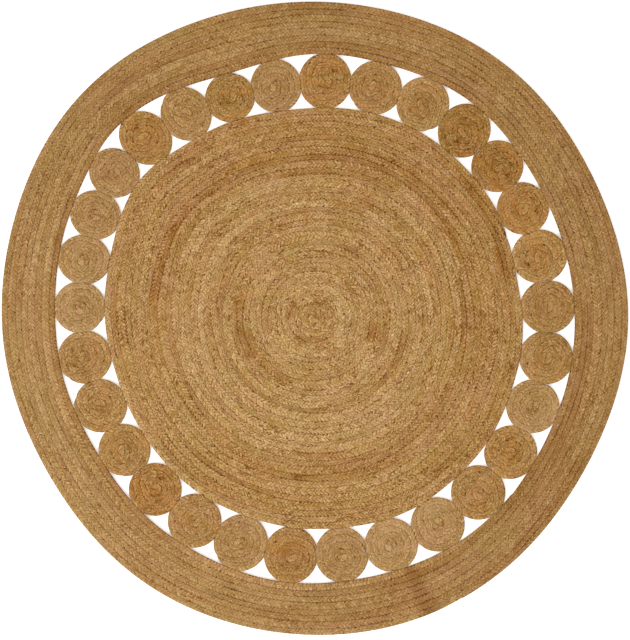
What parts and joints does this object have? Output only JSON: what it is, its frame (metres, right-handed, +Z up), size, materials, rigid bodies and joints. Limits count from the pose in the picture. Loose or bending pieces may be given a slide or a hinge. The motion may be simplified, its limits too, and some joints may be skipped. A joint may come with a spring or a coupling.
{
  "type": "round jute rug",
  "caption": "Round flat rug of coiled jute braid: a wide centre coil, a ring of small round coils sewn edge to edge with open gaps between them, and a broad coiled border.",
  "frame": {"origin": "middle of the outline's box, on the floor that the rug lies on", "axes": "+Z up out of the rug's upper side, +Y towards the top of the picture, +X towards its right"},
  "size_m": [1.4922, 1.5086, 0.009],
  "materials": {
    "centre_jute": "matte plaited jute, golden brown, even rows of braid",
    "medallion_straw": "matte plaited jute, pale straw",
    "medallion_honey": "matte plaited jute, honey",
    "medallion_brown": "matte plaited jute, warm brown",
    "border_jute": "matte plaited jute, golden brown with darker and paler rows"
  },
  "bodies": {
    "root": {"centre_coil": "centre_jute", "medallion_01": "medallion_brown", "medallion_02": "medallion_brown", "medallion_03": "medallion_brown", "medallion_04": "medallion_brown", "medallion_05": "medallion_honey", "medallion_06": "medallion_honey", "medallion_07": "medallion_brown", "medallion_08": "medallion_straw", "medallion_09": "medallion_brown", "medallion_10": "medallion_honey", "medallion_11": "medallion_brown", "medallion_12": "medallion_straw", "medallion_13": "medallion_straw", "medallion_14": "medallion_straw", "medallion_15": "medallion_straw", "medallion_16": "medallion_honey", "medallion_17": "medallion_honey", "medallion_18": "medallion_honey", "medallion_19": "medallion_brown", "medallion_20": "medallion_honey", "medallion_21": "medallion_straw", "medallion_22": "medallion_honey", "medallion_23": "medallion_straw", "medallion_24": "medallion_straw", "medallion_25": "medallion_straw", "medallion_26": "medallion_honey", "medallion_27": "medallion_brown", "medallion_28": "medallion_straw", "medallion_29": "medallion_honey", "medallion_30": "medallion_honey", "border_coil": "border_jute"}
  },
  "joints": []
}
